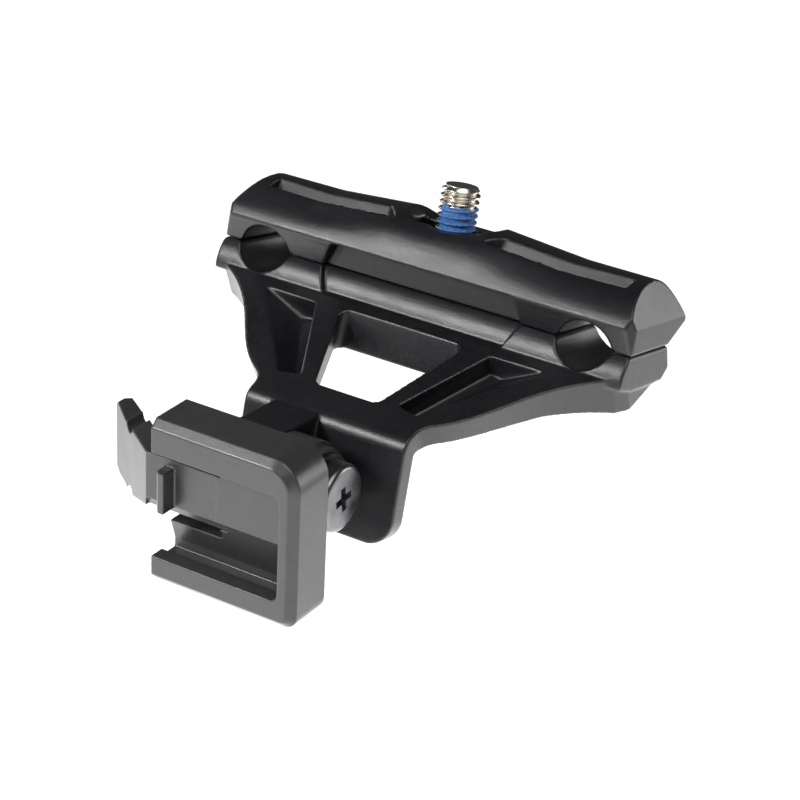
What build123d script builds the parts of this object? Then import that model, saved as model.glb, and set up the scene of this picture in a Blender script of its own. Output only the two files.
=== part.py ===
from build123d import *
import math
import os

# Saddle-rail bracket for a clip-on bicycle light.
# Frame: +X along the clamp bar, +Z up along the clamp bolt, -Y towards the light.
# Origin: on the clamp bolt's axis, in the plane where the two jaws meet.
# Millimetres and degrees throughout.

# ---- saddle rails ----
RAIL_SPACING = 44.0
GROOVE_RADIUS = 3.6
GROOVE_CENTRE = 0.8  # rail axis above the split when clamped, and the same for the other jaw
GROOVE_LIP = 0.3
GROOVE_X = RAIL_SPACING / 2

# ---- clamp bar ----
BAR_HALF = 28.0
SPLIT_GAP = 0.1
PART_LINE_Z = 3.2
PART_LINE_FRONT = -7.0
SPLIT_FRONT = -6.0
SPLIT_BACK = 4.0
JAW_TOP = 8.75
SHOULDER_TOP = 7.8
END_TOP_INSET = 1.9
END_BEVEL = 1.1
LOWER_FRONT = -7.4
LOWER_BOTTOM = -4.2

# ---- front panel, pockets and seat of the jaws ----
PANEL_HALF_SPLIT = 13.7
PANEL_HALF_EDGE = 12.3
PANEL_DEPTH = 0.9
PANEL_BOTTOM = -2.95
POCKET_INNER = 6.0
POCKET_OUTER = 24.4
POCKET_FLOOR = 5.6
POCKET_RIM = 9.4
SEAT_RADIUS = 5.0
SEAT_BACK = 0.6
SEAT_Z = 7.45
SEAT_FLARE = 42
SLOT_LENGTH = 10.2
SLOT_WIDTH = 3.4
SLOT_FLOOR = 5.4

# ---- clamp bolt, M5 x 0.8 x 16 socket head, with its washer and square nut ----
BOLT_RADIUS = 2.4
BOLT_TIP = 12.65
BOLT_HOLE = 2.7
BOLT_SEAT = -2.8
WASHER_THICK = 0.8
WASHER_RADIUS = 4.2
HEAD_RADIUS = 4.2
HEAD_HEIGHT = 5.0
HEX_KEY = 4.0
COUNTERBORE = 4.5
RUNNING_GAP = 0.05
CLAMP_NUT_SIDE = 8.0
CLAMP_NUT_HIGH = 4.0
NUT_POCKET_GAP = 0.1
PATCH_THICK = 0.1
PATCH_BOTTOM = 7.1
PATCH_TOP = 10.4

# ---- bolt boss under the bar ----
BOSS_HALF = 9.5
BOSS_BACK = 5.2
BOSS_FRONT = -6.9
BOSS_BOTTOM = -8.2

# ---- truss plate: its front face passes through one point and falls towards the light ----
TRUSS_SLOPE = 30.3
TRUSS_Y = -8.4
TRUSS_Z = -3.5
NECK_HALF = 10.9
ROOT_BOTTOM = -8.6
WINDOW_TOP_HALF = 8.6
WINDOW_LOW_HALF = 4.2
WINDOW_TOP_Y = -8.6
WINDOW_LOW_Y = -19.4
POCKET_DEPTH = 2.5
FLANK_LEAN = 0.6  # over FLANK_DEPTH
FLANK_DEPTH = 9.0
FLANK_FOOT = -15.8  # where the flanks meet the tab's sides, down the slope from the truss's point
FOLD_RADIUS = 2.0

# ---- hanging tab and hinge lug ----
TAB_FRONT = -23.4
TAB_THICK = 2.4
TAB_BOTTOM = -25.0
TAB_CORNER = 3.4
LUG_LEFT = -7.1
LUG_RIGHT = -0.8
LUG_TOP = -12.2
LUG_RADIUS = 5.5

# ---- hinge axis and pivot screw, M4 pan head with a hexagon nut ----
PIVOT_Y = -29.3
PIVOT_Z = -18.6
HEAD_TILT = 12.7
KNUCKLE_RADIUS = 5.5
KNUCKLE_LEFT = -0.7
KNUCKLE_STEP = 3.3
KNUCKLE_RIGHT = 4.5
COLLAR_RADIUS = 5.0
PIVOT_RADIUS = 2.0
PIVOT_HOLE = 2.05
PIVOT_HEAD_RADIUS = 4.0
PIVOT_HEAD_HIGH = 2.4
PIVOT_WASHER_RADIUS = 4.5
PIVOT_WASHER_THICK = 0.6
PIVOT_NUT_FLATS = 7.0
PIVOT_NUT_HIGH = 3.2
PHILLIPS_SPAN = 3.0
PHILLIPS_WIDTH = 0.9
PHILLIPS_TURN = 20
PHILLIPS_DEPTH = 1.5

# ---- light plate, in its own tilted frame: x as the bar, y up the plate, z out of its face ----
PLATE_LEFT = -9.3
PLATE_RIGHT = 9.6
PLATE_TOP = 9.9
PLATE_LOW = -10.3
PLATE_BACK = 6.4
PLATE_FACE = 12.8
PLATE_CHAMFER = 0.95
PLATE_CORNER_TOP = 3.6
PLATE_CORNER_LOW = 1.6
CHANNEL_TOP = 5.9
CHANNEL_LOW = -7.0
CHANNEL_RIGHT = 7.5
LIP_THICK = 2.0
CHANNEL_FLOOR = 8.4
UNDERCUT = 0.8
LAND_LOW = -1.15
TONGUE_ROOT = -2.0
TONGUE_TOP = 4.5
TONGUE_LOW = -2.25
TONGUE_FACE = 10.8
TONGUE_THICK = 1.8
TONGUE_GAP = 0.25
ROOT_GAP = 0.1
TONGUE_LEFT = -11.5
SLOT_UNDER_TONGUE = 1.8
RIDGE_LEFT = -8.9
RIDGE_RIGHT = -7.65
RIDGE_HIGH = 2.0
RIDGE_TOP = 3.6
RIDGE_LOW = -1.35
LEVER_LEFT = -20.4
LEVER_BACK = 4.6
LEVER_THICK = 2.2
LEVER_TIP_TOP = 5.6
LEVER_TIP_LOW = -3.3

os.makedirs("parts", exist_ok=True)


def save(shape, name):
    """Label one finished piece and write its STEP file."""
    shape.label = name
    export_step(shape, f"parts/{name}.step")


# ---------------------------------------------------------------------------
# Upper jaw: a domed bar with a groove over each rail
# ---------------------------------------------------------------------------
# the upper jaw swells forwards and upwards at mid-length; its ends are slimmer
jaw_stations = (
    (-BAR_HALF, 0.0, SHOULDER_TOP),
    (-17, 0.1, SHOULDER_TOP + 0.05),
    (-6, 0.8, JAW_TOP),
    (6, 0.8, JAW_TOP),
    (17, 0.1, SHOULDER_TOP + 0.05),
    (BAR_HALF, 0.0, SHOULDER_TOP),
)
# half the width of a rail groove where it opens at the split
groove_mouth = math.sqrt(GROOVE_RADIUS**2 - (GROOVE_CENTRE + SPLIT_GAP) ** 2)
with BuildPart() as upper_jaw:
    for x, swell, crown in jaw_stations:
        with BuildSketch(Plane.YZ.offset(x)):
            with BuildLine():
                Polyline(
                    (SPLIT_BACK, SPLIT_GAP),
                    (SPLIT_FRONT, SPLIT_GAP),
                    (PART_LINE_FRONT + 0.15, PART_LINE_Z - 0.45),
                )
                ThreePointArc(
                    (PART_LINE_FRONT + 0.15, PART_LINE_Z - 0.45),
                    (PART_LINE_FRONT, PART_LINE_Z),
                    (PART_LINE_FRONT + 0.12, PART_LINE_Z + 0.4),
                )
                Spline(
                    (PART_LINE_FRONT + 0.12, PART_LINE_Z + 0.4),
                    (-4.9 - swell / 2, 6.0 + swell),
                    (0.8, crown),
                    tangents=[(0.4, 1), (1, 0)],
                )
                Spline(
                    (0.8, crown),
                    (5.3, 5.9),
                    (8.0, 2.6),
                    tangents=[(1, 0), (0.55, -1)],
                )
                Line((8.0, 2.6), (SPLIT_BACK, SPLIT_GAP))
            make_face()
    loft(ruled=True)
    # both ends lean in above the parting line
    with BuildSketch(Plane.XZ.offset(-20)):
        for side in (1, -1):
            with BuildLine():
                Polyline(
                    (side * BAR_HALF, PART_LINE_Z),
                    (side * (BAR_HALF - END_TOP_INSET), SHOULDER_TOP),
                    (side * (BAR_HALF - END_TOP_INSET), 12),
                    (side * 32, 12),
                    (side * 32, PART_LINE_Z),
                    close=True,
                )
            make_face()
    extrude(amount=40, mode=Mode.SUBTRACT)
    # narrow bevel between the front face and each end
    with BuildSketch(Plane.XY.offset(-1)):
        for side in (1, -1):
            with BuildLine():
                Polyline(
                    (side * (BAR_HALF - END_BEVEL), PART_LINE_FRONT - 0.2),
                    (side * BAR_HALF, SPLIT_FRONT + 0.2),
                    (side * 32, SPLIT_FRONT + 0.2),
                    (side * 32, PART_LINE_FRONT - 0.2),
                    close=True,
                )
            make_face()
    extrude(amount=PART_LINE_Z + 3, mode=Mode.SUBTRACT)
    # rail grooves
    with BuildSketch(Plane.XZ.offset(-20)):
        with Locations((GROOVE_X, -GROOVE_CENTRE), (-GROOVE_X, -GROOVE_CENTRE)):
            Circle(GROOVE_RADIUS)
        for side in (1, -1):
            with BuildLine():
                Polyline(
                    (side * (GROOVE_X - groove_mouth - GROOVE_LIP), SPLIT_GAP - 0.3),
                    (side * (GROOVE_X - groove_mouth - GROOVE_LIP), SPLIT_GAP),
                    (side * (GROOVE_X - groove_mouth + 0.2), SPLIT_GAP + GROOVE_LIP),
                    (side * (GROOVE_X + groove_mouth - 0.2), SPLIT_GAP + GROOVE_LIP),
                    (side * (GROOVE_X + groove_mouth + GROOVE_LIP), SPLIT_GAP),
                    (side * (GROOVE_X + groove_mouth + GROOVE_LIP), SPLIT_GAP - 0.3),
                    close=True,
                )
            make_face()
    extrude(amount=40, mode=Mode.SUBTRACT)
    # front panel recess
    with BuildSketch(Plane.XZ.offset(9)):
        with BuildLine():
            Polyline(
                (-PANEL_HALF_SPLIT, -1),
                (-PANEL_HALF_SPLIT, 0),
                (-PANEL_HALF_EDGE, PART_LINE_Z - 0.1),
                (PANEL_HALF_EDGE, PART_LINE_Z - 0.1),
                (PANEL_HALF_SPLIT, 0),
                (PANEL_HALF_SPLIT, -1),
                close=True,
            )
        make_face()
    extrude(amount=-(9 + SPLIT_FRONT + PANEL_DEPTH), mode=Mode.SUBTRACT)
    # long pockets in the top, each with a steep front wall and a back wall that leans away
    for side in (1, -1):
        with BuildSketch(Plane.XY.offset(POCKET_RIM)):
            with BuildLine():
                Polyline(
                    (side * POCKET_INNER, -4.1),
                    (side * (POCKET_INNER + 2.0), -1.35),
                    (side * (POCKET_OUTER + 0.3), 0.15),
                    (side * (POCKET_OUTER + 0.3), -3.2),
                    close=True,
                )
            make_face()
        with BuildSketch(Plane.XY.offset(POCKET_FLOOR)):
            with BuildLine():
                Polyline(
                    (side * (POCKET_INNER + 0.2), -4.1),
                    (side * (POCKET_INNER + 1.6), -3.05),
                    (side * POCKET_OUTER, -1.55),
                    (side * POCKET_OUTER, -3.2),
                    close=True,
                )
            make_face()
        loft(mode=Mode.SUBTRACT)
    # scooped seat round the bolt, with a slot across it
    with BuildSketch(Plane.XY.offset(SEAT_Z)):
        with Locations((0, SEAT_BACK)):
            Circle(SEAT_RADIUS)
    extrude(amount=3, taper=-SEAT_FLARE, mode=Mode.SUBTRACT)
    with BuildSketch(Plane.XY.offset(SLOT_FLOOR)):
        Rectangle(SLOT_LENGTH, SLOT_WIDTH)
    extrude(amount=6, mode=Mode.SUBTRACT)
    with BuildSketch(Plane.XY.offset(-1)):
        Circle(BOLT_HOLE)
    extrude(amount=14, mode=Mode.SUBTRACT)
    # square pocket for the clamp nut, open below
    with BuildSketch(Plane.XY.offset(-1)):
        Rectangle(CLAMP_NUT_SIDE + 2 * NUT_POCKET_GAP, CLAMP_NUT_SIDE + 2 * NUT_POCKET_GAP)
    extrude(amount=1 + SPLIT_GAP + 0.3 + CLAMP_NUT_HIGH, mode=Mode.SUBTRACT)
save(upper_jaw.part, "upper_jaw")

# ---------------------------------------------------------------------------
# Lower body: lower jaw, bolt boss, truss plate, tab and hinge lug in one moulding
# ---------------------------------------------------------------------------
truss_plane = Plane(
    origin=(0, TRUSS_Y, TRUSS_Z),
    x_dir=(1, 0, 0),
    z_dir=(0, -math.sin(math.radians(TRUSS_SLOPE)), math.cos(math.radians(TRUSS_SLOPE))),
)
# on truss_plane, local y runs up the slope, so distances down the slope are negative
fall = math.tan(math.radians(TRUSS_SLOPE))
fold_z = TRUSS_Z + (TAB_FRONT - TRUSS_Y) * fall

# a quarter circle's midpoint lies this fraction of its radius from each side of its square
corner_mid = 1 - math.sqrt(0.5)

# truss and hanging tab: a bent wedge seen from the side, trimmed to its plan outline
with BuildPart() as truss:
    with BuildSketch(Plane.YZ.offset(-BAR_HALF)) as truss_profile:
        with BuildLine():
            Polyline(
                (-3.2, TRUSS_Z + (-3.2 - TRUSS_Y) * fall),
                (TAB_FRONT, fold_z),
                (TAB_FRONT, fold_z - 3.4),
                (TAB_FRONT + TAB_THICK, fold_z - 3.4),
                (TAB_FRONT + TAB_THICK, -14.0),
                (-9.4, ROOT_BOTTOM),
                (-3.4, -6.9),
                (2.5, LOWER_BOTTOM),
                close=True,
            )
        make_face()
        # the sketch's x is the part's y, so the fold is the upper of the two leftmost corners
        fold = truss_profile.vertices().group_by(Axis.X)[0].sort_by(Axis.Y)[-1]
        fillet(fold, FOLD_RADIUS)
    extrude(amount=2 * BAR_HALF)

with BuildPart() as flank_cutter:
    # the flanks lean in under the truss, so the outline shrinks with depth below the front face
    for depth in (-1.0, FLANK_DEPTH):
        tuck = FLANK_LEAN * depth / FLANK_DEPTH
        end_side = BAR_HALF - tuck / 2
        end_corner = BAR_HALF - END_BEVEL - tuck / 2
        corner_up = 1.3 + tuck / 3
        with BuildSketch(truss_plane.offset(-depth)):
            with BuildLine():
                Polyline(
                    (-NECK_HALF, FLANK_FOOT),
                    (-NECK_HALF, FLANK_FOOT - 6.0),
                    (NECK_HALF, FLANK_FOOT - 6.0),
                    (NECK_HALF, FLANK_FOOT),
                )
                Spline(
                    (NECK_HALF, FLANK_FOOT),
                    (12.9 - tuck, -13.0 + tuck),
                    (19.3 - tuck, -5.4 + tuck),
                    (end_corner, corner_up),
                    tangents=[(0, 1), (1, 0.5)],
                )
                Polyline(
                    (end_corner, corner_up),
                    (end_side, corner_up + 1.7),
                    (end_side, 16.0),
                    (-end_side, 16.0),
                    (-end_side, corner_up + 1.7),
                    (-end_corner, corner_up),
                )
                Spline(
                    (-end_corner, corner_up),
                    (tuck - 19.3, -5.4 + tuck),
                    (tuck - 12.9, -13.0 + tuck),
                    (-NECK_HALF, FLANK_FOOT),
                    tangents=[(1, -0.5), (0, -1)],
                )
            make_face()
    loft(ruled=True)

with BuildPart() as truss_and_tab:
    add(truss.part)
    add(flank_cutter.part, mode=Mode.INTERSECT)
    # hanging tab with straight sides and round lower corners
    with BuildSketch(Plane.XZ.offset(-TAB_FRONT)):
        with BuildLine():
            Polyline(
                (TAB_CORNER - NECK_HALF, TAB_BOTTOM),
                (NECK_HALF - TAB_CORNER, TAB_BOTTOM),
            )
            ThreePointArc(
                (NECK_HALF - TAB_CORNER, TAB_BOTTOM),
                (NECK_HALF - TAB_CORNER * corner_mid, TAB_BOTTOM + TAB_CORNER * corner_mid),
                (NECK_HALF, TAB_BOTTOM + TAB_CORNER),
            )
            Polyline(
                (NECK_HALF, TAB_BOTTOM + TAB_CORNER),
                (NECK_HALF, fold_z - FOLD_RADIUS),
                (-NECK_HALF, fold_z - FOLD_RADIUS),
                (-NECK_HALF, TAB_BOTTOM + TAB_CORNER),
            )
            ThreePointArc(
                (-NECK_HALF, TAB_BOTTOM + TAB_CORNER),
                (TAB_CORNER * corner_mid - NECK_HALF, TAB_BOTTOM + TAB_CORNER * corner_mid),
                (TAB_CORNER - NECK_HALF, TAB_BOTTOM),
            )
        make_face()
    extrude(amount=-TAB_THICK)

# the lower jaw's front bulges from the split down to the panel's lower edge
bulge = ((SPLIT_FRONT, 0), (LOWER_FRONT + 0.45, PANEL_BOTTOM * 0.45), (LOWER_FRONT, PANEL_BOTTOM))
with BuildPart() as lower_panel:
    with BuildSketch(Plane.XZ.offset(9)):
        with BuildLine():
            Polyline(
                (-PANEL_HALF_SPLIT, 1),
                (-PANEL_HALF_SPLIT, 0),
                (-PANEL_HALF_EDGE, PANEL_BOTTOM),
                (PANEL_HALF_EDGE, PANEL_BOTTOM),
                (PANEL_HALF_SPLIT, 0),
                (PANEL_HALF_SPLIT, 1),
                close=True,
            )
        make_face()
    extrude(amount=-6)
    # its floor is the same bulge, set back
    with BuildSketch(Plane.YZ.offset(-PANEL_HALF_SPLIT)):
        with BuildLine():
            ThreePointArc(*[(y + PANEL_DEPTH, z) for y, z in bulge])
            Polyline(
                (LOWER_FRONT + PANEL_DEPTH, PANEL_BOTTOM),
                (-9, PANEL_BOTTOM),
                (-9, 1),
                (SPLIT_FRONT + PANEL_DEPTH, 1),
                (SPLIT_FRONT + PANEL_DEPTH, 0),
            )
        make_face()
    extrude(amount=2 * PANEL_HALF_SPLIT, mode=Mode.INTERSECT)

with BuildPart() as lower_body:
    with BuildSketch(Plane.YZ.offset(-BAR_HALF)):
        with BuildLine():
            Line((SPLIT_BACK, 0), (SPLIT_FRONT, 0))
            ThreePointArc(*bulge)
            Polyline(
                (LOWER_FRONT, PANEL_BOTTOM),
                (LOWER_FRONT, LOWER_BOTTOM + 0.5),
                (LOWER_FRONT + 1.6, LOWER_BOTTOM),
                (SPLIT_BACK, LOWER_BOTTOM),
                (SPLIT_BACK + 1.4, LOWER_BOTTOM + 1.4),
                (SPLIT_BACK, 0),
            )
        make_face()
    extrude(amount=2 * BAR_HALF)
    # boss that holds the bolt's head
    with BuildSketch(Plane.XY.offset(BOSS_BOTTOM)):
        with Locations((0, (BOSS_FRONT + BOSS_BACK) / 2)):
            RectangleRounded(2 * BOSS_HALF, BOSS_BACK - BOSS_FRONT, 3.0)
    extrude(amount=-BOSS_BOTTOM - 1)
    add(truss_and_tab.part)
    # hinge lug
    with BuildSketch(Plane.YZ.offset(LUG_LEFT)):
        with BuildLine():
            Polyline(
                (TAB_FRONT + 0.5, LUG_TOP),
                (PIVOT_Y, PIVOT_Z + LUG_RADIUS),
                (PIVOT_Y, PIVOT_Z - LUG_RADIUS),
                (TAB_FRONT + 0.5, PIVOT_Z - LUG_RADIUS),
                close=True,
            )
        make_face()
        with Locations((PIVOT_Y, PIVOT_Z)):
            Circle(LUG_RADIUS)
    extrude(amount=LUG_RIGHT - LUG_LEFT)
    # pocket each side of the window: steep beside the window's rib, ramped up to the flank
    for side in (1, -1):
        with BuildSketch(truss_plane):
            with BuildLine():
                Polyline(
                    (side * 12.1, -0.6),
                    (side * 19.4, -0.5),
                    (side * 9.4, -12.8),
                    (side * 6.7, -12.2),
                    close=True,
                )
            make_face()
        with BuildSketch(truss_plane.offset(-POCKET_DEPTH)):
            with BuildLine():
                Polyline(
                    (side * 12.0, -0.9),
                    (side * 13.8, -1.5),
                    (side * 8.0, -12.1),
                    (side * 7.0, -12.0),
                    close=True,
                )
            make_face()
        loft(mode=Mode.SUBTRACT)
    # window through the plate
    with BuildSketch(Plane.XY.offset(-20)) as window:
        with BuildLine():
            Polyline(
                (-WINDOW_TOP_HALF, WINDOW_TOP_Y),
                (WINDOW_TOP_HALF, WINDOW_TOP_Y),
                (WINDOW_LOW_HALF, WINDOW_LOW_Y),
                (-WINDOW_LOW_HALF, WINDOW_LOW_Y),
                close=True,
            )
        make_face()
        fillet(window.vertices(), 1.0)
    extrude(amount=18, mode=Mode.SUBTRACT)
    # rail grooves
    with BuildSketch(Plane.XZ.offset(-20)):
        with Locations((GROOVE_X, GROOVE_CENTRE), (-GROOVE_X, GROOVE_CENTRE)):
            Circle(GROOVE_RADIUS)
    extrude(amount=40, mode=Mode.SUBTRACT)
    groove_lips = (
        lower_body.edges()
        .filter_by(Axis.Y)
        .filter_by_position(Axis.Z, -0.01, 0.01)
    )
    chamfer(groove_lips, GROOVE_LIP)
    add(lower_panel.part, mode=Mode.SUBTRACT)
    # bolt hole, and the counterbore for its head
    with BuildSketch(Plane.XY.offset(BOSS_BOTTOM - 1)):
        Circle(COUNTERBORE)
    extrude(amount=BOLT_SEAT - BOSS_BOTTOM + 1, mode=Mode.SUBTRACT)
    with BuildSketch(Plane.XY.offset(BOSS_BOTTOM)):
        Circle(BOLT_HOLE)
    extrude(amount=20, mode=Mode.SUBTRACT)
    # pivot hole, with the hexagon nut's pocket in the lug's outer side
    with BuildSketch(Plane.YZ.offset(LUG_LEFT - 1)):
        with Locations((PIVOT_Y, PIVOT_Z)):
            Circle(PIVOT_HOLE)
    extrude(amount=LUG_RIGHT - LUG_LEFT + 2, mode=Mode.SUBTRACT)
    with BuildSketch(Plane.YZ.offset(LUG_LEFT)):
        with Locations((PIVOT_Y, PIVOT_Z)):
            RegularPolygon(PIVOT_NUT_FLATS / 2 + NUT_POCKET_GAP, 6, major_radius=False)
    extrude(amount=PIVOT_NUT_HIGH, mode=Mode.SUBTRACT)
save(lower_body.part, "lower_body")

# ---------------------------------------------------------------------------
# Clamp bolt, washer, square nut and the thread-locking patch
# ---------------------------------------------------------------------------
bolt_under_head = BOLT_SEAT - WASHER_THICK - RUNNING_GAP

with BuildPart() as clamp_washer:
    with BuildSketch(Plane.XY.offset(BOLT_SEAT - WASHER_THICK)):
        Circle(WASHER_RADIUS)
        Circle(BOLT_RADIUS + RUNNING_GAP, mode=Mode.SUBTRACT)
    extrude(amount=WASHER_THICK)
save(clamp_washer.part, "clamp_washer")

with BuildPart() as clamp_bolt:
    with BuildSketch(Plane.XY.offset(bolt_under_head - HEAD_HEIGHT)):
        Circle(HEAD_RADIUS)
    extrude(amount=HEAD_HEIGHT)
    chamfer(clamp_bolt.faces().sort_by(Axis.Z)[0].edges(), 0.4)
    with BuildSketch(Plane.XY.offset(bolt_under_head)):
        Circle(BOLT_RADIUS)
    extrude(amount=BOLT_TIP - bolt_under_head)
    chamfer(clamp_bolt.faces().sort_by(Axis.Z)[-1].edges(), 0.5)
    with BuildSketch(Plane.XY.offset(bolt_under_head - HEAD_HEIGHT)):
        RegularPolygon(HEX_KEY / 2, 6, major_radius=False)
    extrude(amount=2.6, mode=Mode.SUBTRACT)
save(clamp_bolt.part, "clamp_bolt")

with BuildPart() as thread_lock_patch:
    with BuildSketch(Plane.XY.offset(PATCH_BOTTOM)):
        Circle(BOLT_RADIUS + PATCH_THICK)
        Circle(BOLT_RADIUS, mode=Mode.SUBTRACT)
        with Locations((-4.1, 0.9)):
            Rectangle(5, 8, rotation=-20, mode=Mode.SUBTRACT)
    extrude(amount=PATCH_TOP - PATCH_BOTTOM)
save(thread_lock_patch.part, "thread_lock_patch")

with BuildPart() as clamp_nut:
    with BuildSketch(Plane.XY.offset(SPLIT_GAP + 0.3)):
        Rectangle(CLAMP_NUT_SIDE, CLAMP_NUT_SIDE)
        Circle(BOLT_RADIUS + RUNNING_GAP, mode=Mode.SUBTRACT)
    extrude(amount=CLAMP_NUT_HIGH)
    chamfer(clamp_nut.edges().filter_by(Axis.Z), 0.4)
save(clamp_nut.part, "clamp_nut")

# ---------------------------------------------------------------------------
# Pivot screw, washer and nut on the hinge axis
# ---------------------------------------------------------------------------
with BuildPart() as pivot_washer:
    with BuildSketch(Plane.YZ.offset(KNUCKLE_RIGHT + RUNNING_GAP)):
        with Locations((PIVOT_Y, PIVOT_Z)):
            Circle(PIVOT_WASHER_RADIUS)
            Circle(PIVOT_RADIUS + RUNNING_GAP, mode=Mode.SUBTRACT)
    extrude(amount=PIVOT_WASHER_THICK)
save(pivot_washer.part, "pivot_washer")

pivot_head_seat = KNUCKLE_RIGHT + RUNNING_GAP + PIVOT_WASHER_THICK
with BuildPart() as pivot_screw:
    with BuildSketch(Plane.YZ.offset(LUG_LEFT)):
        with Locations((PIVOT_Y, PIVOT_Z)):
            Circle(PIVOT_RADIUS)
    extrude(amount=pivot_head_seat - LUG_LEFT)
    with BuildSketch(Plane.YZ.offset(pivot_head_seat)):
        with Locations((PIVOT_Y, PIVOT_Z)):
            Circle(PIVOT_HEAD_RADIUS)
    extrude(amount=PIVOT_HEAD_HIGH)
    fillet(pivot_screw.faces().sort_by(Axis.X)[-1].edges(), 0.6)
    with BuildSketch(Plane.YZ.offset(pivot_head_seat + PIVOT_HEAD_HIGH)):
        with Locations((PIVOT_Y, PIVOT_Z)):
            Rectangle(PHILLIPS_SPAN, PHILLIPS_WIDTH, rotation=PHILLIPS_TURN)
            Rectangle(PHILLIPS_WIDTH, PHILLIPS_SPAN, rotation=PHILLIPS_TURN)
    extrude(amount=-PHILLIPS_DEPTH, taper=12, mode=Mode.SUBTRACT)
save(pivot_screw.part, "pivot_screw")

with BuildPart() as pivot_nut:
    with BuildSketch(Plane.YZ.offset(LUG_LEFT)):
        with Locations((PIVOT_Y, PIVOT_Z)):
            RegularPolygon(PIVOT_NUT_FLATS / 2, 6, major_radius=False)
            Circle(PIVOT_RADIUS + RUNNING_GAP, mode=Mode.SUBTRACT)
    extrude(amount=PIVOT_NUT_HIGH)
save(pivot_nut.part, "pivot_nut")

# ---------------------------------------------------------------------------
# Light plate: the tilted quick-release bracket with its knuckle
# ---------------------------------------------------------------------------
tilt = math.radians(HEAD_TILT)
plate_up = (0, -math.sin(tilt), math.cos(tilt))
plate_out = (0, -math.cos(tilt), -math.sin(tilt))
pivot_point = (0, PIVOT_Y, PIVOT_Z)
# sketches on face_frame use (x, up), on side_frame (up, out), on plan_frame (x, -out)
face_frame = Plane(origin=pivot_point, x_dir=(1, 0, 0), z_dir=plate_out)
side_frame = Plane(origin=pivot_point, x_dir=plate_up, z_dir=(1, 0, 0))
plan_frame = Plane(origin=pivot_point, x_dir=(1, 0, 0), z_dir=plate_up)
out_axis = Axis(pivot_point, plate_out)
land_face = PLATE_FACE - LIP_THICK

with BuildPart() as light_plate:
    with BuildSketch(face_frame.offset(PLATE_BACK)):
        with BuildLine():
            Polyline(
                (PLATE_RIGHT - PLATE_CORNER_LOW, PLATE_LOW),
                (PLATE_LEFT, PLATE_LOW),
                (PLATE_LEFT, PLATE_TOP),
                (PLATE_RIGHT - PLATE_CORNER_TOP, PLATE_TOP),
            )
            RadiusArc(
                (PLATE_RIGHT - PLATE_CORNER_TOP, PLATE_TOP),
                (PLATE_RIGHT, PLATE_TOP - PLATE_CORNER_TOP),
                PLATE_CORNER_TOP,
            )
            Line(
                (PLATE_RIGHT, PLATE_TOP - PLATE_CORNER_TOP),
                (PLATE_RIGHT, PLATE_LOW + PLATE_CORNER_LOW),
            )
            RadiusArc(
                (PLATE_RIGHT, PLATE_LOW + PLATE_CORNER_LOW),
                (PLATE_RIGHT - PLATE_CORNER_LOW, PLATE_LOW),
                PLATE_CORNER_LOW,
            )
        make_face()
    extrude(amount=PLATE_FACE - PLATE_BACK)
    front_face = light_plate.faces().sort_by(out_axis)[-1]
    chamfer(front_face.edges().sort_by(Axis.X)[1:], PLATE_CHAMFER)
    # opening between the two lips, open to the left
    with BuildSketch(face_frame.offset(land_face)) as opening:
        with Locations(((PLATE_LEFT - 1 + CHANNEL_RIGHT) / 2, (CHANNEL_TOP + CHANNEL_LOW) / 2)):
            Rectangle(CHANNEL_RIGHT - PLATE_LEFT + 1, CHANNEL_TOP - CHANNEL_LOW)
        fillet(opening.vertices().group_by(Axis.X)[-1], 1.0)
    extrude(amount=LIP_THICK + 1, mode=Mode.SUBTRACT)
    # channel behind the lower lip: the land rolls back to a deeper floor
    with BuildSketch(side_frame.offset(PLATE_LEFT - 1)):
        with BuildLine():
            ThreePointArc(
                (LAND_LOW, land_face),
                (LAND_LOW - 2.75, land_face - 1.45),
                (CHANNEL_LOW + 0.3, CHANNEL_FLOOR),
            )
            Polyline(
                (CHANNEL_LOW + 0.3, CHANNEL_FLOOR),
                (CHANNEL_LOW - UNDERCUT, CHANNEL_FLOOR),
                (CHANNEL_LOW - UNDERCUT, land_face),
                (LAND_LOW, land_face),
            )
        make_face()
    extrude(amount=CHANNEL_RIGHT - PLATE_LEFT + 1, mode=Mode.SUBTRACT)
    # window that the latch tongue moves in, with the slot under the tongue
    window_top = TONGUE_TOP + TONGUE_GAP
    window_low = TONGUE_LOW - SLOT_UNDER_TONGUE
    with BuildSketch(face_frame.offset(PLATE_BACK - 1)) as tongue_window:
        with Locations(((PLATE_LEFT - 1 + TONGUE_ROOT) / 2, (window_top + window_low) / 2)):
            Rectangle(TONGUE_ROOT - PLATE_LEFT + 1, window_top - window_low)
        fillet(tongue_window.vertices().sort_by(Axis.Y)[:2].sort_by(Axis.X)[-1], 0.5)
    extrude(amount=land_face - PLATE_BACK + 2, mode=Mode.SUBTRACT)
    # rounded seat for the tongue's root
    with BuildSketch(plan_frame.offset(TONGUE_LOW - TONGUE_GAP)):
        with Locations((TONGUE_ROOT, -(TONGUE_FACE - TONGUE_THICK / 2))):
            Circle(TONGUE_THICK / 2 + ROOT_GAP)
    extrude(amount=window_top - TONGUE_LOW + TONGUE_GAP, mode=Mode.SUBTRACT)
    # knuckle on the back
    for left, right, radius in (
        (KNUCKLE_LEFT, KNUCKLE_STEP, KNUCKLE_RADIUS),
        (KNUCKLE_STEP, KNUCKLE_RIGHT, COLLAR_RADIUS),
    ):
        with BuildSketch(side_frame.offset(left)):
            Circle(radius)
            with Locations((0, PLATE_BACK / 2 + 0.1)):
                Rectangle(2 * radius, PLATE_BACK + 0.2)
        extrude(amount=right - left)
    with BuildSketch(side_frame.offset(KNUCKLE_LEFT - 1)):
        Circle(PIVOT_HOLE)
    extrude(amount=KNUCKLE_RIGHT - KNUCKLE_LEFT + 2, mode=Mode.SUBTRACT)
save(light_plate.part, "light_plate")

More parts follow.
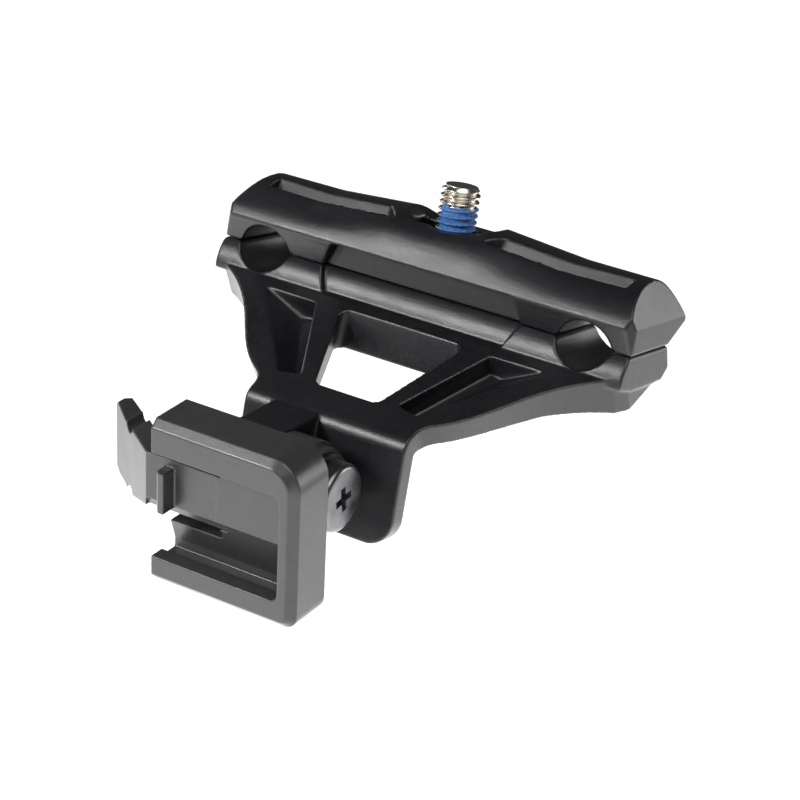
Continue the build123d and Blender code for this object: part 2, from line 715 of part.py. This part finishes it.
# ---------------------------------------------------------------------------
# Latch tongue with its catch ridge and swept thumb lever
# ---------------------------------------------------------------------------
tongue_back = TONGUE_FACE - TONGUE_THICK

with BuildPart() as latch_tongue:
    # tongue and lever seen from above
    with BuildSketch(plan_frame.offset(LEVER_TIP_LOW - 1)):
        with BuildLine():
            Polyline(
                (TONGUE_ROOT, -TONGUE_FACE),
                (TONGUE_LEFT, -TONGUE_FACE),
                (LEVER_LEFT, -LEVER_BACK),
                (LEVER_LEFT + 0.9, -(LEVER_BACK - LEVER_THICK * 0.8)),
            )
            Spline(
                (LEVER_LEFT + 0.9, -(LEVER_BACK - LEVER_THICK * 0.8)),
                (-15.6, -4.7),
                (-11.6, -8.0),
                (TONGUE_LEFT + 1.6, -tongue_back),
                tangents=[(1, -0.35), (1, -0.3)],
            )
            Line((TONGUE_LEFT + 1.6, -tongue_back), (TONGUE_ROOT, -tongue_back))
            ThreePointArc(
                (TONGUE_ROOT, -TONGUE_FACE),
                (TONGUE_ROOT + TONGUE_THICK / 2, -(TONGUE_FACE - TONGUE_THICK / 2)),
                (TONGUE_ROOT, -tongue_back),
            )
        make_face()
    extrude(amount=LEVER_TIP_TOP - LEVER_TIP_LOW + 2)
    # the outline seen from the front: a straight tongue, then a lever that widens to its tip
    with BuildSketch(face_frame):
        with BuildLine():
            Polyline(
                (0, TONGUE_TOP),
                (TONGUE_LEFT, TONGUE_TOP),
                (-17.6, LEVER_TIP_TOP - 0.9),
                (LEVER_LEFT + 0.5, LEVER_TIP_TOP),
                (LEVER_LEFT, LEVER_TIP_TOP - 0.6),
                (LEVER_LEFT, LEVER_TIP_LOW + 0.6),
                (LEVER_LEFT + 0.8, LEVER_TIP_LOW),
                (-15.8, LEVER_TIP_LOW - 0.5),
                (TONGUE_LEFT, TONGUE_LOW),
                (0, TONGUE_LOW),
                close=True,
            )
        make_face()
    extrude(amount=PLATE_FACE + 2, mode=Mode.INTERSECT)
    # lower edge scooped like the land beside it
    with BuildSketch(side_frame.offset(TONGUE_LEFT)):
        with BuildLine():
            ThreePointArc(
                (LAND_LOW, land_face),
                (LAND_LOW - 2.75, land_face - 1.45),
                (CHANNEL_LOW + 0.3, CHANNEL_FLOOR),
            )
            Polyline(
                (CHANNEL_LOW + 0.3, CHANNEL_FLOOR),
                (CHANNEL_LOW + 0.3, PLATE_FACE + 1),
                (LAND_LOW, PLATE_FACE + 1),
                (LAND_LOW, land_face),
            )
        make_face()
    extrude(amount=-TONGUE_LEFT + 1, mode=Mode.SUBTRACT)
    # catch ridge
    with BuildSketch(face_frame.offset(TONGUE_FACE - 0.5)):
        with Locations(((RIDGE_LEFT + RIDGE_RIGHT) / 2, (RIDGE_TOP + RIDGE_LOW) / 2)):
            Rectangle(RIDGE_RIGHT - RIDGE_LEFT, RIDGE_TOP - RIDGE_LOW)
    extrude(amount=RIDGE_HIGH + 0.5)
    ridge_face = latch_tongue.faces().sort_by(out_axis)[-1]
    chamfer(ridge_face.edges().sort_by(Axis.X)[0], 0.5)
    # finger grooves bitten out of the lever's top and bottom edges
    for up_place in (LEVER_TIP_TOP - 1.0, LEVER_TIP_LOW - 0.4):
        with BuildSketch(face_frame):
            with Locations((-16.4, up_place)):
                Circle(0.75)
        extrude(amount=PLATE_FACE, mode=Mode.SUBTRACT)
save(latch_tongue.part, "latch_tongue")
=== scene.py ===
import math

import bmesh
import bpy
from mathutils import Matrix, Vector


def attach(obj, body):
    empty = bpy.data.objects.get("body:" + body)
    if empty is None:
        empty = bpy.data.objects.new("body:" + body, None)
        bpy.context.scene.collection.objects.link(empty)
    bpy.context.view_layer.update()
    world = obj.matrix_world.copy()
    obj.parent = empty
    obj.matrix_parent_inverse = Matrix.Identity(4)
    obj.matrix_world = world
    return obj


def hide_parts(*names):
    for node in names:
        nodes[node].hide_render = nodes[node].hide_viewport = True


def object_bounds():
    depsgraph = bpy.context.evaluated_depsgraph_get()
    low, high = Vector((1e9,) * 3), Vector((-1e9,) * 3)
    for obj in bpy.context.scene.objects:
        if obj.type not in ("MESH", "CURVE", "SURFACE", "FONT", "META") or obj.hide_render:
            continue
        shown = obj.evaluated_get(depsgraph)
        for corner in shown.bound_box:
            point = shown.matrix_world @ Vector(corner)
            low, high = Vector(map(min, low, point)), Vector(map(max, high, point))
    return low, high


# The saddle-rail light bracket: rounded mouldings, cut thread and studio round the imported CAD.
# +X along the clamp bar, +Z up along the clamp bolt, -Y towards the light. Sizes in mm
# unless a name says otherwise; MM turns them into the scene's metres.

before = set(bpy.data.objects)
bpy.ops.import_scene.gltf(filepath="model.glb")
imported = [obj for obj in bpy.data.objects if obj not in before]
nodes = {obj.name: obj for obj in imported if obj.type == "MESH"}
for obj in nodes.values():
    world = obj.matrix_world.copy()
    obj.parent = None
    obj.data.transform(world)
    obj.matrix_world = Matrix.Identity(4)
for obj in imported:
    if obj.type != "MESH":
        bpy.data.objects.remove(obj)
cad_low, cad_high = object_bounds()
centre = (cad_low + cad_high) / 2
MM = 0.001

# the light plate's hinge axis and its own directions
HEAD_TILT = math.radians(12.7)
pivot = Vector((0, -29.3, -18.6))
plate_up = Vector((0, -math.sin(HEAD_TILT), math.cos(HEAD_TILT)))
plate_out = Vector((0, -math.cos(HEAD_TILT), -math.sin(HEAD_TILT)))


# ---------------------------------------------------------------------------
# Mesh helpers
# ---------------------------------------------------------------------------
def activate(obj):
    """Make obj the only selected and active object."""
    bpy.ops.object.select_all(action="DESELECT")
    obj.select_set(True)
    bpy.context.view_layer.objects.active = obj


def copy_of(node, name):
    """A free copy of a CAD node's mesh in a new object."""
    mesh = nodes[node].data.copy()
    mesh.materials.clear()
    obj = bpy.data.objects.new(name, mesh)
    bpy.context.scene.collection.objects.link(obj)
    bm = bmesh.new()
    bm.from_mesh(mesh)
    bmesh.ops.remove_doubles(bm, verts=bm.verts, dist=1e-7)
    bm.to_mesh(mesh)
    bm.free()
    return obj


def apply_modifiers(obj):
    """Bake obj's modifiers into its mesh."""
    activate(obj)
    for modifier in list(obj.modifiers):
        bpy.ops.object.modifier_apply(modifier=modifier.name)


def soften(obj, voxel_mm, steps, keep):
    """Round every edge of a closed mesh as a moulding's edges are round."""
    remesh = obj.modifiers.new("remesh", "REMESH")
    remesh.mode = "VOXEL"
    remesh.voxel_size = voxel_mm * MM
    smooth = obj.modifiers.new("smooth", "SMOOTH")
    smooth.factor = 0.5
    smooth.iterations = steps
    thin = obj.modifiers.new("thin", "DECIMATE")
    thin.ratio = keep
    apply_modifiers(obj)
    for polygon in obj.data.polygons:
        polygon.use_smooth = True
    return obj


def new_object(name, points, faces):
    """A smooth shaded mesh object from points in metres."""
    mesh = bpy.data.meshes.new(name)
    mesh.from_pydata(points, [], faces)
    mesh.update()
    for polygon in mesh.polygons:
        polygon.use_smooth = True
    obj = bpy.data.objects.new(name, mesh)
    bpy.context.scene.collection.objects.link(obj)
    return obj


def joined(objects, name):
    """Join several objects into one under a new name."""
    bpy.ops.object.select_all(action="DESELECT")
    for obj in objects:
        obj.select_set(True)
    bpy.context.view_layer.objects.active = objects[0]
    bpy.ops.object.join()
    objects[0].name = name
    return objects[0]


def plate_block(name, x_range, up_range, out_range):
    """A box in the light plate's own directions: x, up the plate and out of its face."""
    corners = [
        (pivot + x * Vector((1, 0, 0)) + up_mm * plate_up + out_mm * plate_out) * MM
        for x in x_range
        for up_mm in up_range
        for out_mm in out_range
    ]
    faces = [(0, 1, 3, 2), (4, 6, 7, 5), (0, 4, 5, 1), (2, 3, 7, 6), (0, 2, 6, 4), (1, 5, 7, 3)]
    return new_object(name, corners, faces)


ROOT_ZONE = 2.0  # left of the cut, where the tongue lies close to the plate


def plate_place(point):
    """How far up the light plate and out of its face a point lies, in mm."""
    offset = point / MM - pivot
    return offset.dot(plate_up), offset.dot(plate_out)


def cut_free(obj, plane_x, up_range, out_low, name):
    """Cut the tongue off at plane_x, move it into a new object and close both pieces."""

    def in_tongue(face):
        up_mm, out_mm = plate_place(face.calc_center_median())
        return up_range[0] < up_mm < up_range[1] and out_mm > out_low

    bm = bmesh.new()
    bm.from_mesh(obj.data)
    near = [face for face in bm.faces if in_tongue(face)]
    near_edges = {edge for face in near for edge in face.edges}
    near_verts = {vert for face in near for vert in face.verts}
    region = list(near_verts) + list(near_edges) + near
    bmesh.ops.bisect_plane(bm, geom=region, plane_co=(plane_x, 0, 0), plane_no=(1, 0, 0), dist=1e-9)
    # the piece that reaches furthest left is found face by face, never crossing the cut
    first = min(bm.verts, key=lambda vertex: vertex.co.x).link_faces[0]
    found = {first}
    waiting = [first]
    while waiting:
        for edge in waiting.pop().edges:
            if min(vertex.co.x for vertex in edge.verts) > plane_x - 1e-8:
                continue
            for other in edge.link_faces:
                beside_root = other.calc_center_median().x > plane_x - ROOT_ZONE * MM
                if other not in found and (in_tongue(other) or not beside_root):
                    found.add(other)
                    waiting.append(other)
    bm.faces.index_update()
    chosen = {face.index for face in found}
    free = bm.copy()
    free.faces.ensure_lookup_table()
    others = [face for face in free.faces if face.index not in chosen]
    bmesh.ops.delete(free, geom=others, context="FACES")
    bmesh.ops.delete(bm, geom=list(found), context="FACES")
    for part in (free, bm):
        rim = [edge for edge in part.edges if edge.is_boundary]
        for edge in rim:
            edge.smooth = False
        bmesh.ops.holes_fill(part, edges=rim, sides=0)
        bmesh.ops.recalc_face_normals(part, faces=part.faces)
    mesh = bpy.data.meshes.new(name)
    free.to_mesh(mesh)
    bm.to_mesh(obj.data)
    piece = bpy.data.objects.new(name, mesh)
    bpy.context.scene.collection.objects.link(piece)
    for part in (piece, obj):
        for polygon in part.data.polygons:
            polygon.use_smooth = True
    free.free()
    bm.free()
    return piece


def keep_below(obj, height):
    """Cut away the part of a closed mesh above a height and close it again."""
    bm = bmesh.new()
    bm.from_mesh(obj.data)
    everything = bm.verts[:] + bm.edges[:] + bm.faces[:]
    bmesh.ops.bisect_plane(
        bm, geom=everything, plane_co=(0, 0, height), plane_no=(0, 0, 1), clear_outer=True
    )
    bmesh.ops.holes_fill(bm, edges=[edge for edge in bm.edges if edge.is_boundary], sides=0)
    bm.to_mesh(obj.data)
    bm.free()


# ---------------------------------------------------------------------------
# Clamp bolt thread, M5 x 0.8
# ---------------------------------------------------------------------------
PITCH = 0.8
CREST = 2.39
THREAD_DEPTH = 0.46
BOLT_TIP = 12.65
TIP_BEVEL = 0.6
CREST_FLAT = 0.14  # share of half a pitch
FLANK_SHARE = 0.72  # share of half a pitch
TIP_SLOPE = 0.75
ROWS_PER_TURN = 18
COLUMNS = 96
FILM_COLUMNS = 72
FILM_OUTSIDE = 0.075
FILM_INSIDE = 0.012


def thread_radius(angle, height):
    """Radius of the threaded shank: narrow crests, sloping flanks and rounded roots."""
    phase = (height / PITCH - angle / (2 * math.pi)) % 1.0
    away = abs(2 * phase - 1)
    drop = min(max((away - CREST_FLAT) / FLANK_SHARE, 0.0), 1.0)
    drop = 0.75 * drop + 0.25 * drop * drop * (3 - 2 * drop)
    tip_limit = CREST - max(0.0, height - (BOLT_TIP - TIP_BEVEL)) * TIP_SLOPE
    return min(CREST - THREAD_DEPTH * drop, tip_limit)


def threaded_rod(name, low, high):
    """A closed threaded cylinder about the z axis."""
    rows = int((high - low) / PITCH * ROWS_PER_TURN)
    points = []
    for row in range(rows + 1):
        height = low + (high - low) * row / rows
        for column in range(COLUMNS):
            angle = 2 * math.pi * column / COLUMNS
            radius = thread_radius(angle, height)
            points.append((radius * math.cos(angle) * MM, radius * math.sin(angle) * MM, height * MM))
    faces = [
        (
            row * COLUMNS + column,
            row * COLUMNS + (column + 1) % COLUMNS,
            (row + 1) * COLUMNS + (column + 1) % COLUMNS,
            (row + 1) * COLUMNS + column,
        )
        for row in range(rows)
        for column in range(COLUMNS)
    ]
    faces.append(tuple(reversed(range(COLUMNS))))
    faces.append(tuple(range(rows * COLUMNS, (rows + 1) * COLUMNS)))
    rod = new_object(name, points, faces)
    for edge in rod.data.edges:
        ends = [rod.data.vertices[index].co.z for index in edge.vertices]
        if min(ends) > (high - 1e-4) * MM or max(ends) < (low + 1e-4) * MM:
            edge.use_edge_sharp = True
    return rod


def lock_film_piece(name, low, high, start, stop):
    """A thin uneven coat over part of the thread, from one angle to another."""
    rows = int((high - low) / PITCH * ROWS_PER_TURN)
    columns = FILM_COLUMNS
    points = []
    for coat in (FILM_OUTSIDE, FILM_INSIDE):
        for row in range(rows + 1):
            along = row / rows
            for column in range(columns + 1):
                around = column / columns
                ragged = 0.10 * math.sin(23 * around) + 0.05 * math.sin(61 * around + 1)
                height = low + (high - low - 0.16 + ragged) * along
                sway = 0.05 * math.sin(9 * along) + 0.03 * math.sin(31 * along)
                angle = start + sway + (stop - start) * around
                edge_thin = min(1.0, 8 * min(around, 1 - around), 8 * min(along, 1 - along) + 0.1)
                filled = thread_radius(angle, height) + coat * max(edge_thin, 0.2)
                radius = max(filled, CREST - THREAD_DEPTH * 0.8 + coat)
                points.append((radius * math.cos(angle) * MM, radius * math.sin(angle) * MM, height * MM))
    wide = columns + 1
    inner = wide * (rows + 1)
    faces = []
    for row in range(rows):
        for column in range(columns):
            corner = row * wide + column
            faces.append((corner, corner + 1, corner + wide + 1, corner + wide))
            under = inner + corner
            faces.append((under + wide, under + wide + 1, under + 1, under))
    for column in range(columns):
        top = rows * wide + column
        faces.append((column + 1, column, inner + column, inner + column + 1))
        faces.append((top, top + 1, inner + top + 1, inner + top))
    for row in range(rows):
        left = row * wide
        right = left + columns
        faces.append((left, left + wide, inner + left + wide, inner + left))
        faces.append((right + wide, right, inner + right, inner + right + wide))
    return new_object(name, points, faces)


# ---------------------------------------------------------------------------
# Materials
# ---------------------------------------------------------------------------
def new_material(name):
    """An empty node material; returns the material, its tree and its shader."""
    material = bpy.data.materials.new(name)
    material.use_nodes = True
    tree = material.node_tree
    return material, tree, tree.nodes["Principled BSDF"]


def noise(tree, coords, scale, detail=4.0, rough=0.6):
    """A noise texture on the object's own coordinates."""
    node = tree.nodes.new("ShaderNodeTexNoise")
    node.inputs["Scale"].default_value = scale
    node.inputs["Detail"].default_value = detail
    node.inputs["Roughness"].default_value = rough
    tree.links.new(coords.outputs["Object"], node.inputs["Vector"])
    return node.outputs["Fac"]


def ramp(tree, source, stops):
    """A colour ramp with (position, colour) stops."""
    node = tree.nodes.new("ShaderNodeValToRGB")
    elements = node.color_ramp.elements
    while len(elements) < len(stops):
        elements.new(0.5)
    for element, (position, colour) in zip(elements, stops):
        element.position = position
        element.color = (*colour, 1.0)
    tree.links.new(source, node.inputs["Fac"])
    return node.outputs["Color"]


def math_node(tree, operation, first, second):
    """A math node on two values or sockets."""
    node = tree.nodes.new("ShaderNodeMath")
    node.operation = operation
    for socket, value in zip(node.inputs, (first, second)):
        if isinstance(value, (int, float)):
            socket.default_value = value
        else:
            tree.links.new(value, socket)
    return node.outputs["Value"]


def mix_colour(tree, factor, first, second):
    """Mix two colours or colour sockets by a factor socket."""
    node = tree.nodes.new("ShaderNodeMix")
    node.data_type = "RGBA"
    tree.links.new(factor, node.inputs["Factor"])
    for socket, value in ((node.inputs["A"], first), (node.inputs["B"], second)):
        if isinstance(value, tuple):
            socket.default_value = (*value, 1.0)
        else:
            tree.links.new(value, socket)
    return node.outputs["Result"]


def bump(tree, shader, layers):
    """Chain bump nodes: each layer is (height socket, strength, distance in mm)."""
    normal = None
    for height, strength, distance in layers:
        node = tree.nodes.new("ShaderNodeBump")
        node.inputs["Strength"].default_value = strength
        node.inputs["Distance"].default_value = distance * MM
        tree.links.new(height, node.inputs["Height"])
        if normal:
            tree.links.new(normal, node.inputs["Normal"])
        normal = node.outputs["Normal"]
    tree.links.new(normal, shader.inputs["Normal"])


def convex_edge_mask(tree, reach_mm, low, high):
    """0 on flats, 1 on convex edges, from how much solid lies just under the surface."""
    shade = tree.nodes.new("ShaderNodeAmbientOcclusion")
    shade.inside = True
    shade.only_local = True
    shade.samples = 8
    shade.inputs["Distance"].default_value = reach_mm * MM
    remap = tree.nodes.new("ShaderNodeMapRange")
    remap.inputs["From Min"].default_value = high
    remap.inputs["From Max"].default_value = low
    tree.links.new(shade.outputs["AO"], remap.inputs["Value"])
    return remap.outputs["Result"]


def nylon(name, dark, light, rough_low, rough_high, grain, edge_reach_mm, wear_and_glint_gain):
    """Glass-filled nylon: fibre mottling, fine speckled grain, and edges with pale speckles in the base
    colour (partly edge wear, partly a painted highlight) that are also a little glossier.
    """
    material, tree, shader = new_material(name)
    coords = tree.nodes.new("ShaderNodeTexCoord")
    broad = noise(tree, coords, 90.0, 3.0)
    fine = noise(tree, coords, 7000.0, 3.0, 0.7)
    flow = noise(tree, coords, 900.0, 4.0, 0.65)
    base = ramp(tree, flow, ((0.3, dark), (0.7, light)))
    # convex edges get pale speckles mixed into the base colour: partly edge wear, partly a painted
    # highlight along the edges
    wear_and_glint_edges = convex_edge_mask(tree, edge_reach_mm, 0.45, 0.8)
    wear_and_glint_speck = math_node(tree, "MULTIPLY", wear_and_glint_edges, math_node(tree, "MULTIPLY", fine, wear_and_glint_gain))
    pale_wear_glint = tuple(3.0 * c + 0.03 for c in light)
    tree.links.new(mix_colour(tree, wear_and_glint_speck, base, pale_wear_glint), shader.inputs["Base Color"])
    gloss = tree.nodes.new("ShaderNodeMapRange")
    gloss.inputs["From Min"].default_value = 0.3
    gloss.inputs["From Max"].default_value = 0.7
    gloss.inputs["To Min"].default_value = rough_low
    gloss.inputs["To Max"].default_value = rough_high
    tree.links.new(broad, gloss.inputs["Value"])
    rubbed = math_node(tree, "MULTIPLY", wear_and_glint_edges, -0.08)
    tree.links.new(math_node(tree, "ADD", gloss.outputs["Result"], rubbed), shader.inputs["Roughness"])
    bump(tree, shader, ((fine, grain, 0.035), (flow, grain * 0.5, 0.08)))
    shader.inputs["Specular IOR Level"].default_value = 0.5
    return material


def metal(name, dark, light, rough_low, rough_high):
    """Plated steel with faint turning marks and uneven sheen."""
    material, tree, shader = new_material(name)
    coords = tree.nodes.new("ShaderNodeTexCoord")
    patches = noise(tree, coords, 500.0, 4.0)
    fine = noise(tree, coords, 5000.0, 3.0)
    tree.links.new(ramp(tree, patches, ((0.3, dark), (0.7, light))), shader.inputs["Base Color"])
    gloss = tree.nodes.new("ShaderNodeMapRange")
    gloss.inputs["To Min"].default_value = rough_low
    gloss.inputs["To Max"].default_value = rough_high
    tree.links.new(patches, gloss.inputs["Value"])
    tree.links.new(gloss.outputs["Result"], shader.inputs["Roughness"])
    bump(tree, shader, ((fine, 0.15, 0.02),))
    shader.inputs["Metallic"].default_value = 1.0
    return material


body_nylon = nylon(
    "body_nylon",
    dark=(0.0035, 0.0036, 0.0046),
    light=(0.0075, 0.0076, 0.0096),
    rough_low=0.26,
    rough_high=0.37,
    grain=0.7,
    edge_reach_mm=0.45,
    wear_and_glint_gain=0.15,
)
plate_nylon = nylon(
    "plate_nylon",
    dark=(0.022, 0.022, 0.023),
    light=(0.030, 0.030, 0.031),
    rough_low=0.28,
    rough_high=0.38,
    grain=0.18,
    edge_reach_mm=0.25,
    wear_and_glint_gain=0.35,
)
bolt_metal = metal("bolt_metal", (0.42, 0.39, 0.33), (0.66, 0.63, 0.56), 0.14, 0.30)
dark_metal = metal("dark_metal", (0.10, 0.10, 0.105), (0.20, 0.20, 0.21), 0.22, 0.4)


def lock_film():
    """Dry blue thread-locking film: chalky, speckled, uneven."""
    material, tree, shader = new_material("lock_film")
    coords = tree.nodes.new("ShaderNodeTexCoord")
    speckle = noise(tree, coords, 3500.0, 5.0, 0.7)
    colour = ramp(tree, speckle, ((0.35, (0.010, 0.05, 0.19)), (0.65, (0.06, 0.19, 0.44))))
    tree.links.new(colour, shader.inputs["Base Color"])
    bump(tree, shader, ((speckle, 0.6, 0.08),))
    shader.inputs["Roughness"].default_value = 0.55
    return material


blue_film = lock_film()

# ---------------------------------------------------------------------------
# Mouldings: the CAD shapes with the rounded edges of moulded parts
# ---------------------------------------------------------------------------
def finish_piece(piece, node, body, material):
    """Put a piece in the place of a CAD node."""
    piece.data.materials.clear()
    piece.data.materials.append(material)
    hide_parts(node)
    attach(piece, body)


for node in ("upper_jaw", "lower_body"):
    moulding = soften(copy_of(node, node + "_moulding"), 0.15, 7, 0.4)
    finish_piece(moulding, node, node, body_nylon)

# plate and latch tongue are one moulding: join them, soften the whole, then cut at the flexing root
TONGUE_ROOT = -2.0
whole_plate = joined(
    [
        copy_of("light_plate", "light_plate_moulding"),
        copy_of("latch_tongue", "tongue_blank"),
        plate_block("root_fill_upper", (-3.2, 0.2), (-1.0, 4.4), (9.1, 10.8)),
        plate_block("root_fill_lower", (-3.2, 0.2), (-2.15, -0.9), (9.1, 10.3)),
    ],
    "light_plate_moulding",
)
soften(whole_plate, 0.1, 4, 0.4)
tongue = cut_free(whole_plate, TONGUE_ROOT * MM, (-2.6, 4.7), 8.7, "latch_tongue_moulding")
finish_piece(whole_plate, "light_plate", "light_plate", plate_nylon)
finish_piece(tongue, "latch_tongue", "latch_tongue", plate_nylon)

# clamp bolt: the CAD head with a cut thread above it, and its coat of locking film
bolt_head = copy_of("clamp_bolt", "bolt_head")
keep_below(bolt_head, -3.3 * MM)
bolt = joined([bolt_head, threaded_rod("bolt_thread", -3.4, BOLT_TIP)], "threaded_clamp_bolt")
finish_piece(bolt, "clamp_bolt", "clamp_bolt", bolt_metal)
film = lock_film_piece("blue_lock_film", 7.12, 10.38, math.radians(-126), math.radians(112))
finish_piece(film, "thread_lock_patch", "clamp_bolt", blue_film)

for node, material in (
    ("clamp_washer", bolt_metal),
    ("clamp_nut", bolt_metal),
    ("pivot_screw", dark_metal),
    ("pivot_washer", dark_metal),
    ("pivot_nut", dark_metal),
):
    nodes[node].data.materials.clear()
    nodes[node].data.materials.append(material)

# ---------------------------------------------------------------------------
# Floor, lights and camera
# ---------------------------------------------------------------------------
FLOOR_DROP = 0.13  # metres
FLOOR_REACH = 6.0  # metres
floor_level = cad_low.z - FLOOR_DROP


def stage_floor():
    """A pale floor well below the object, with a faint even glow like a light table."""
    material, tree, shader = new_material("floor")
    shader.inputs["Base Color"].default_value = (0.95, 0.95, 0.95, 1.0)
    shader.inputs["Roughness"].default_value = 0.9
    shader.inputs["Emission Color"].default_value = (1.0, 1.0, 1.0, 1.0)
    shader.inputs["Emission Strength"].default_value = 0.62
    corners = [(x, y, floor_level) for x, y in ((-1, -1), (1, -1), (1, 1), (-1, 1))]
    corners = [(x * FLOOR_REACH, y * FLOOR_REACH, z) for x, y, z in corners]
    mesh = bpy.data.meshes.new("floor")
    mesh.from_pydata(corners, [], [(0, 1, 2, 3)])
    mesh.materials.append(material)
    floor = bpy.data.objects.new("floor", mesh)
    bpy.context.scene.collection.objects.link(floor)


stage_floor()


def area_light(name, place, size, power, target=centre):
    """A square soft light that faces the object."""
    data = bpy.data.lights.new(name, "AREA")
    data.shape = "SQUARE"
    data.size = size
    data.energy = power
    light = bpy.data.objects.new(name, data)
    light.location = place
    light.rotation_euler = (Vector(target) - Vector(place)).to_track_quat("-Z", "Y").to_euler()
    bpy.context.scene.collection.objects.link(light)
    return light


area_light("front_left", centre + Vector((-0.162, -0.286, 0.136)), 0.09, 1.15)
area_light("back_right", centre + Vector((0.30, 0.36, 0.10)), 0.20, 0.75)
area_light("far_left", centre + Vector((-0.35, 0.10, 0.16)), 0.16, 0.25)
table = area_light("table", Vector((centre.x, centre.y, floor_level + 0.002)), 0.8, 1.9)
table.visible_camera = False

sun_data = bpy.data.lights.new("sun", "SUN")
sun_data.energy = 1.9
sun_data.angle = math.radians(50)
sun = bpy.data.objects.new("sun", sun_data)
sun.rotation_euler = Vector((0.35, -0.45, 0.82)).to_track_quat("Z", "Y").to_euler()
bpy.context.scene.collection.objects.link(sun)

world = bpy.data.worlds.new("studio")
world.use_nodes = True
world.node_tree.nodes["Background"].inputs["Color"].default_value = (1, 1, 1, 1)
world.node_tree.nodes["Background"].inputs["Strength"].default_value = 0.06
bpy.context.scene.world = world
bpy.context.scene.view_settings.view_transform = "Standard"

azimuth, elevation, roll = (math.radians(a) for a in (28.3, 15.9, 9.7))
back = Vector((
    math.sin(azimuth) * math.cos(elevation),
    -math.cos(azimuth) * math.cos(elevation),
    math.sin(elevation),
))
level_right = Vector((math.cos(azimuth), math.sin(azimuth), 0))
level_up = back.cross(level_right)
right = math.cos(roll) * level_right + math.sin(roll) * level_up
up = back.cross(right)
data = bpy.data.cameras.new("camera")
data.lens = 112.05
data.sensor_width = 36.0
camera = bpy.data.objects.new("camera", data)
place = (-5.315 * right - 13.368 * up + 297.6 * back) * MM
camera.matrix_world = Matrix((
    (right.x, up.x, back.x, place.x),
    (right.y, up.y, back.y, place.y),
    (right.z, up.z, back.z, place.z),
    (0, 0, 0, 1),
))
bpy.context.scene.collection.objects.link(camera)
bpy.context.scene.camera = camera
